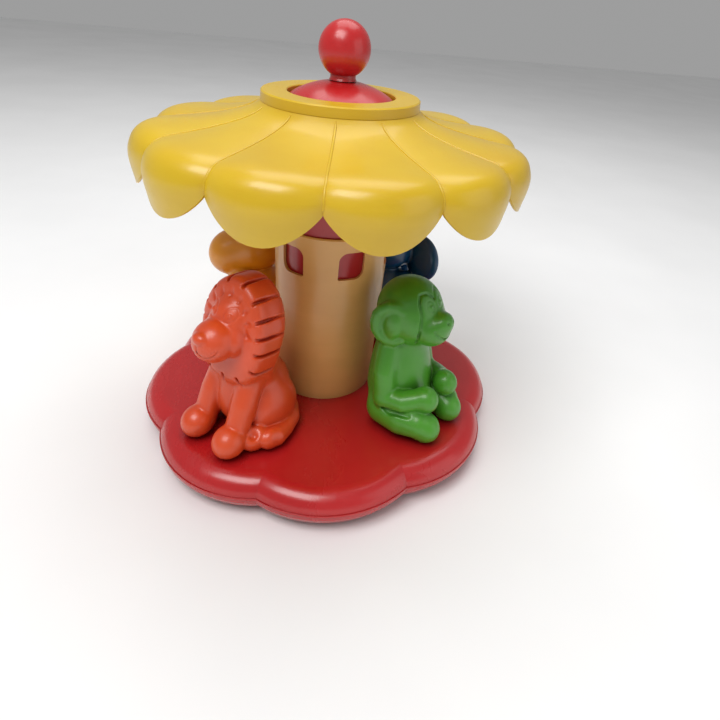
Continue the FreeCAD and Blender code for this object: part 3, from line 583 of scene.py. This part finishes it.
def bear_clay():
    c = Clay((-40, -38, -4), (42, 38, 104), CLAY_STEP)
    c.egg((-9, 0, 27), (21, 23, 27), 3)
    c.egg((-8, 0, 45), (17, 19, 20), 8)
    c.path([(-4, 15, 13), (8, 17, 12), (17, 17, 11)], [12.0, 11.0, 9.6], 4)
    c.egg((20.5, 17.5, 11.5), (7.6, 9.0, 11.0), 1.6)
    c.egg((26.6, 17.5, 12.5), (2.4, 5.2, 6.2), 1.0, True)
    c.egg((26.4, 17.5, 12.2), (2.0, 4.2, 5.0), 0.8)
    c.path([(-8, 18, 54), (0, 22, 43), (12, 18, 35)], [8.4, 7.6, 7.2], 3)
    c.egg((14, 17, 33), (7.2, 6.6, 6.8), 1.8)
    c.egg((8, 0, 30), (8, 14, 17), 2.5)
    # head with full cheeks, ears, muzzle and nose
    c.egg((-4, 0, 77), (20, 22, 19.5), 2.0)
    c.egg((8, 13.0, 71), (17.0, 17.6, 17.0), 6)
    c.egg((-6, 15.5, 91), (5.4, 7.2, 7.4), 1.6)
    c.egg((-1.8, 15.8, 91.5), (3.4, 4.4, 4.6), 1.2, True)
    c.egg((21.0, 0, 70), (10.0, 11.6, 9.2), 1.6)
    c.egg((29.8, 0, 74.6), (3.6, 4.6, 3.2), 0.8)
    # mouth, eyes and brows
    c.drawn([(0, 71.4), (0, 67.4)], 0.5, 0.1, 0.4, sides=False)
    c.drawn([(0.0, 67.4), (3.2, 65.4), (6.4, 66.6)], 0.6, 0.1, 0.4)
    c.drawn(circle(7.6, 84.5, 2.8, 3.1), 0.42, 0.0, 0.3)
    c.drawn([(7.6, 84.2), (7.6, 84.3)], 1.1, 0.4, 0.4, carve=False)
    c.drawn([(5.0, 89.2), (8.4, 90.4), (11.4, 88.8)], 0.5, 0.0, 0.4)
    c.flat_foot()
    return c


def elephant_clay():
    c = Clay((-40, -48, -4), (42, 48, 104), CLAY_STEP)
    c.egg((-9, 0, 27), (21, 23, 27), 3)
    c.egg((-8, 0, 45), (17, 19, 20), 8)
    c.path([(-4, 15, 13), (8, 16, 12.5), (16, 15, 12)], [12.5, 12.0, 11.0], 4)
    c.egg((18.5, 15, 12), (8.0, 10.0, 11.0), 1.6)
    for y0 in (10.4, 15.0, 19.6):
        c.egg((25.6, y0, 4.2), (2.6, 2.4, 3.2), 0.8)
    c.path([(-7, 17, 53), (2, 20, 43), (12, 17, 34)], [8.8, 8.4, 8.2], 3)
    c.egg((-6, 0, 78), (19, 19.5, 18.5), 2.0)
    c.egg((2, 0, 74), (13, 15, 13), 5)
    # trunk with rings across its front and a nostril
    trunk = [(9, 0, 73), (17, 0, 66), (20.5, 0, 56), (20, 0, 46), (22.5, 0, 38.5), (27.0, 0, 36.5)]
    c.path(trunk, [9.6, 7.6, 6.6, 5.8, 5.2, 4.8], 2.5, sides=False)
    for z0 in (63, 58, 53, 48, 43):
        c.path([(27.5, -5, z0 + 0.5), (28.2, 0, z0), (27.5, 5, z0 + 0.5)], [1.0, 1.0, 1.0], 1.0, True, False)
    c.egg((31.0, 0, 37.0), (2.0, 2.0, 2.0), 0.8, True)
    # large round ears, then tusks and eyes
    c.egg((1, 26.5, 73.5), (5.6, 16.5, 18.5), 3.0, yaw=8)
    c.egg((7.4, 28.0, 73.0), (4.0, 12.5, 14.5), 1.5, True, yaw=8)
    c.path([(14, 7.5, 66), (19.5, 9.0, 62.5)], [2.4, 1.7], 1.0)
    c.drawn(circle(8.6, 84.5, 2.7, 3.0), 0.42, 0.0, 0.3)
    c.drawn([(8.6, 84.2), (8.6, 84.3)], 1.0, 0.4, 0.4, carve=False)
    c.flat_foot()
    return c


place_figure(lion_clay(), "lion_figure", 225, "orange", "lion")
place_figure(monkey_clay(), "monkey_figure", 315, "green", "monkey")
place_figure(bear_clay(), "bear_figure", 135, "amber", "bear")
place_figure(elephant_clay(), "elephant_figure", 45, "blue", "elephant")


# Canopy: twelve bulging petals with round scallops, and a raised bead along each seam

# Profiles are (radius, height from the collar's seat) in mm, from the collar out to the edge.

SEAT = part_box("canopy")[1][2] / MM + 0.05
PETALS = 12
FIRST_SEAM = 22.0       # degrees
PETAL_WALL = 2.1
LIP = 0.55              # how far the rounded edge stands past the wall
HOLE_RADIUS = 37.0
HOLE_WALL = 2.25
BEAD_SIDES = 10
BEAD_WIDE = 0.8         # half width
BEAD_HIGH = 0.62
SHARP = 38              # degrees, an edge sharper than this stays crisp
SEAM = [(49.5, -0.05), (55, -4.6), (64, -8.6), (79, -12.6), (94, -15.4),
        (106.4, -17.6), (112.4, -20.8), (115.6, -25.2), (116.4, -29.4), (116.4, -32.5)]
CROWN = [(49.5, -0.05), (55, -4.3), (64, -7.8), (79, -11.2), (94, -13.4),
         (111, -15.2), (119, -18.6), (123, -25.0), (124, -34.5), (120, -51.5)]
SCALLOP = [0, 0, 0, 0, 0.05, 0.1, 0.12, 0.14, 0.16, 0.16]


def smooth_line(points, per):
    """Smooth curve through points, with per steps in each gap."""
    before = 2 * np.array(points[0]) - points[1]
    after = 2 * np.array(points[-1]) - points[-2]
    p = np.array([before] + list(points) + [after], float)
    out = []
    for i in range(1, len(p) - 2):
        for k in range(per):
            t = k / per
            a, b, c, d = p[i - 1], p[i], p[i + 1], p[i + 2]
            bend = (2 * a - 5 * b + 4 * c - d) * t * t
            twist = (3 * b - a - 3 * c + d) * t ** 3
            out.append(0.5 * (2 * b + (c - a) * t + bend + twist))
    out.append(p[-2])
    return np.array(out)


def petal_line(share, per):
    """Profile at a share of the way from a petal's middle (0) to its seam (1 or -1)."""
    soft = 1.0 - share * share
    full = math.sqrt(max(0.0, soft))
    mixed = []
    for (rs, zs), (rc, zc), m in zip(SEAM, CROWN, SCALLOP):
        k = (1.0 - m) * soft + m * full
        mixed.append((rs + (rc - rs) * k, zs + (zc - zs) * k))
    return smooth_line(mixed, per)


def line_normals(line):
    """Unit vectors square to a profile, on its outer side."""
    way = np.gradient(line, axis=0)
    way /= np.linalg.norm(way, axis=1)[:, None]
    return np.stack([-way[:, 1], way[:, 0]], 1)


def make_canopy():
    """Closed shell made of profiles all the way round, closer together near the seams."""
    per = 6
    steps = 26
    rings = []
    for petal in range(PETALS):
        for k in range(steps):
            share = math.sin(math.pi / 2 * (2.0 * k / steps - 1.0))
            top = petal_line(share, per)
            normal = line_normals(top)
            under = top - normal * PETAL_WALL
            way = top[-1] - top[-2]
            lip = (top[-1] + under[-1]) / 2 + way / np.linalg.norm(way) * LIP
            loop = [(HOLE_RADIUS, -0.05)] + [tuple(q) for q in top] + [tuple(lip)]
            loop += [tuple(q) for q in under[:1:-1]] + [(HOLE_RADIUS, -0.05 - HOLE_WALL)]
            angle = math.radians(FIRST_SEAM + 360.0 / PETALS * (petal + 0.5 + share / 2.0))
            k0, s0 = math.cos(angle) * MM, math.sin(angle) * MM
            rings.append([(r * k0, r * s0, (SEAT + z) * MM) for r, z in loop])
    size = len(rings[0])
    verts = [v for ring in rings for v in ring]
    faces = []
    for i in range(len(rings)):
        j = (i + 1) % len(rings)
        for k in range(size):
            m = (k + 1) % size
            faces.append((i * size + k, i * size + m, j * size + m, j * size + k))
    obj = new_object("petal_canopy", verts, faces, "carousel", "yellow", "canopy")
    obj.data.set_sharp_from_angle(angle=math.radians(SHARP))


def make_beads():
    """Raised strip along each seam, tapered at both ends."""
    line = petal_line(1.0, 6)[2:-2]
    normal = line_normals(line)
    verts = []
    faces = []
    for petal in range(PETALS):
        angle = math.radians(FIRST_SEAM + 360.0 / PETALS * petal)
        k, s = math.cos(angle), math.sin(angle)
        start = len(verts)
        for i, (r, z) in enumerate(line):
            fade = min(1.0, 0.35 + 0.2 * i, 0.35 + 0.2 * (len(line) - 1 - i))
            for j in range(BEAD_SIDES):
                turn = 2 * math.pi * j / BEAD_SIDES
                side = BEAD_WIDE * fade * math.sin(turn)
                high = BEAD_HIGH * fade * math.cos(turn)
                rr = r + normal[i][0] * high
                zz = SEAT + z + normal[i][1] * high
                verts.append(((rr * k - side * s) * MM, (rr * s + side * k) * MM, zz * MM))
        for i in range(len(line) - 1):
            for j in range(BEAD_SIDES):
                m = (j + 1) % BEAD_SIDES
                a0 = start + i * BEAD_SIDES
                b0 = a0 + BEAD_SIDES
                faces.append((a0 + j, a0 + m, b0 + m, b0 + j))
        faces.append(tuple(start + j for j in range(BEAD_SIDES))[::-1])
        faces.append(tuple(len(verts) - BEAD_SIDES + j for j in range(BEAD_SIDES)))
    new_object("canopy_beads", verts, faces, "carousel", "yellow")


make_canopy()
make_beads()


# Floor and light

def make_floor():
    mesh = bpy.data.meshes.new("floor")
    w = 3.0
    mesh.from_pydata([(-w, -w, 0), (w, -w, 0), (w, w, 0), (-w, w, 0)], [], [(0, 1, 2, 3)])
    floor = bpy.data.objects.new("floor", mesh)
    bpy.context.scene.collection.objects.link(floor)
    m = Mat("floor_paint")
    soft = m.noise(6.0, 3.0)
    base = m.mix(m.ramp(soft, 0.3, 0.7, 0.0, 1.0), (0.86, 0.86, 0.86), (0.9, 0.9, 0.9))
    m.link(base, m.b.inputs["Base Color"])
    m.b.inputs["Roughness"].default_value = 0.8
    mesh.materials.append(m.m)


def area_light(name, spot, aim, size, power):
    data = bpy.data.lights.new(name, "AREA")
    data.shape = "RECTANGLE"
    data.size = size[0]
    data.size_y = size[1]
    data.energy = power
    obj = bpy.data.objects.new(name, data)
    bpy.context.scene.collection.objects.link(obj)
    obj.location = spot
    obj.rotation_euler = (Vector(aim) - Vector(spot)).to_track_quat("-Z", "Y").to_euler()


make_floor()
area_light("key", (-0.45, -0.55, 1.15), (0, 0, 0.12), (0.8, 0.6), 11)
area_light("fill", (1.1, -0.7, 0.5), (0, 0, 0.12), (1.0, 1.0), 2.5)
area_light("top", (0.1, 0.35, 1.3), (0, 0, 0.15), (1.2, 0.9), 8)
world = bpy.data.worlds.new("studio")
bpy.context.scene.world = world
world.use_nodes = True
world.node_tree.nodes["Background"].inputs[0].default_value = (1, 1, 1, 1)
world.node_tree.nodes["Background"].inputs[1].default_value = 0.34
bpy.context.scene.view_settings.view_transform = "Standard"
